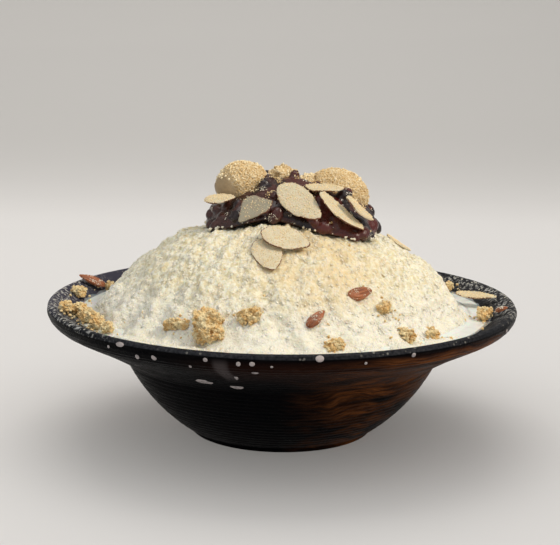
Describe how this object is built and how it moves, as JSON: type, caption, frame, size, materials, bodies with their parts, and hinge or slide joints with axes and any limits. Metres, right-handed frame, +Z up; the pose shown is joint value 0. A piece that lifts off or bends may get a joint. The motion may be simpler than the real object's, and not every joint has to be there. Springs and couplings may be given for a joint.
{
  "type": "shaved ice dessert",
  "caption": "Heap of milk shaved ice in a wide-rimmed black stoneware bowl, topped with red beans, powdered rice cakes, sliced almonds and soybean crumble.",
  "frame": {"origin": "centre of the bowl's foot, on the surface that the bowl stands on", "axes": "+Z up along the bowl's axis; -Y towards the eater, the side with the most toppings; +X to the eater's right"},
  "size_m": [0.21, 0.21, 0.1215],
  "materials": {
    "black_glaze": "satin black glaze with iron-brown throwing streaks and fine pale specks",
    "milk_ice": "cream white flaked milk ice, rough, with soft yellow dusting",
    "milk": "smooth wet melted milk",
    "red_beans": "dark maroon sweet bean paste, glossy",
    "soybean_powder": "golden roasted soybean powder over rice cake, matt and grainy",
    "almond": "cream almond slice with a thin brown edge",
    "almond_skin": "wrinkled red-brown almond skin",
    "crumble": "baked golden crumble, matt"
  },
  "bodies": {
    "root": {"bowl": "black_glaze", "shaved_ice": "milk_ice", "melted_milk": "milk", "red_beans": "red_beans", "rice_cake_left": "soybean_powder", "rice_cake_right": "soybean_powder", "powder_clump_left": "soybean_powder", "powder_clump_right": "soybean_powder", "almond_front_large": "almond", "almond_front_left": "almond", "almond_right_low": "almond", "almond_right_frosted": "almond", "almond_right_high": "almond", "almond_left_tucked": "almond", "almond_back_large": "almond", "almond_back_right": "almond", "almond_rim_right": "almond", "almond_ice_upper": "almond", "almond_ice_lower": "almond", "almond_ice_right": "almond", "almond_ice_back": "almond", "almond_ice_back_left": "almond", "nut_front_right": "almond_skin", "nut_front_low": "almond_skin", "nut_rim_left": "almond_skin", "nut_rim_right": "almond_skin", "nut_back_left": "almond_skin", "nut_back_right": "almond_skin", "crumble_front_large": "crumble", "crumble_front_small": "crumble", "crumble_front_flat": "crumble", "crumble_front_edge": "crumble", "crumble_right_high": "crumble", "crumble_right_low": "crumble", "crumble_right_edge": "crumble", "crumble_rim_right": "crumble", "crumble_milk_right": "crumble", "crumble_rim_left_a": "crumble", "crumble_rim_left_b": "crumble", "crumble_rim_left_c": "crumble", "crumble_rim_left_d": "crumble", "crumble_rim_left_e": "crumble", "crumble_rim_left_f": "crumble", "crumble_milk_left": "crumble", "crumble_back_left": "crumble", "crumble_back_right": "crumble", "crumble_back_edge": "crumble"}
  },
  "joints": []
}
